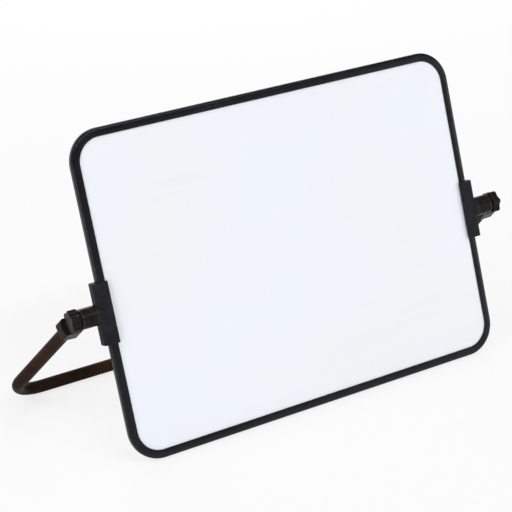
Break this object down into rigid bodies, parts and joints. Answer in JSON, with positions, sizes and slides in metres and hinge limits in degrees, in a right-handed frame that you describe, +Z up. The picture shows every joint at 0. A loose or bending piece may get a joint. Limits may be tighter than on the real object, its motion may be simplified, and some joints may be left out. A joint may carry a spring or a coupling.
{
  "type": "desk whiteboard easel",
  "caption": "Magnetic whiteboard in a dark rounded frame that tilts between the legs of a bent tube stand and is clamped by a lobed knob at each side.",
  "frame": {"origin": "middle of the footprint at desk level: halfway along the board, and halfway between the front of its lower edge and the back of the foot rail", "axes": "+X along the board, to the right as one faces it; +Y to the back, away from the writer; +Z up"},
  "size_m": [0.503, 0.175, 0.2832],
  "materials": {
    "frame": "charcoal anodised, satin",
    "writing_face": "white, glossy",
    "core": "bare fibreboard",
    "stand": "black powder coat, satin",
    "clips": "charcoal, matt",
    "hubs": "charcoal, satin",
    "knobs": "black, slightly glossy",
    "washers": "black oxide, the edges worn bright",
    "friction_washers": "black nylon, matt",
    "fasteners": "zinc plated",
    "screws": "black"
  },
  "bodies": {
    "stand": {"stand_tube": "stand", "left_hub": "hubs", "left_hub_screw": "screws", "right_hub": "hubs", "right_hub_screw": "screws"},
    "board": {"upper_frame": "frame", "lower_frame": "frame", "front_sheet": "writing_face", "core_board": "core", "rear_sheet": "writing_face", "left_clip": "clips", "left_clip_screws": "screws", "left_pivot_bolt": "fasteners", "left_friction_washer": "friction_washers", "right_clip": "clips", "right_clip_screws": "screws", "right_pivot_bolt": "fasteners", "right_friction_washer": "friction_washers"},
    "left_washer": {"left_knob_washer": "washers"},
    "left_knob": {"left_knob": "knobs", "left_knob_nut": "fasteners"},
    "right_washer": {"right_knob_washer": "washers"},
    "right_knob": {"right_knob": "knobs", "right_knob_nut": "fasteners"}
  },
  "joints": [
    {"name": "board_tilt", "type": "hinge", "parent": "stand", "child": "board", "pos_m": [0, -0.03639, 0.13285], "axis": [1, 0, 0], "continuous": true},
    {"name": "left_knob_travel", "type": "slide", "parent": "board", "child": "left_washer", "axis": [-1, 0, 0], "range_m": [0, 0.0015]},
    {"name": "left_knob_turn", "type": "hinge", "parent": "left_washer", "child": "left_knob", "pos_m": [-0.22165, -0.03639, 0.13285], "axis": [-1, 0, 0], "range_deg": [0, 540.5]},
    {"name": "right_knob_travel", "type": "slide", "parent": "board", "child": "right_washer", "axis": [1, 0, 0], "range_m": [0, 0.0015]},
    {"name": "right_knob_turn", "type": "hinge", "parent": "right_washer", "child": "right_knob", "pos_m": [0.22165, -0.03639, 0.13285], "axis": [1, 0, 0], "range_deg": [0, 540.5]}
  ],
  "couplings": [
    {"joint": "left_knob_turn", "follows": "left_knob_travel", "rad_per_m": 6283.2},
    {"joint": "right_knob_turn", "follows": "right_knob_travel", "rad_per_m": 6283.2}
  ]
}
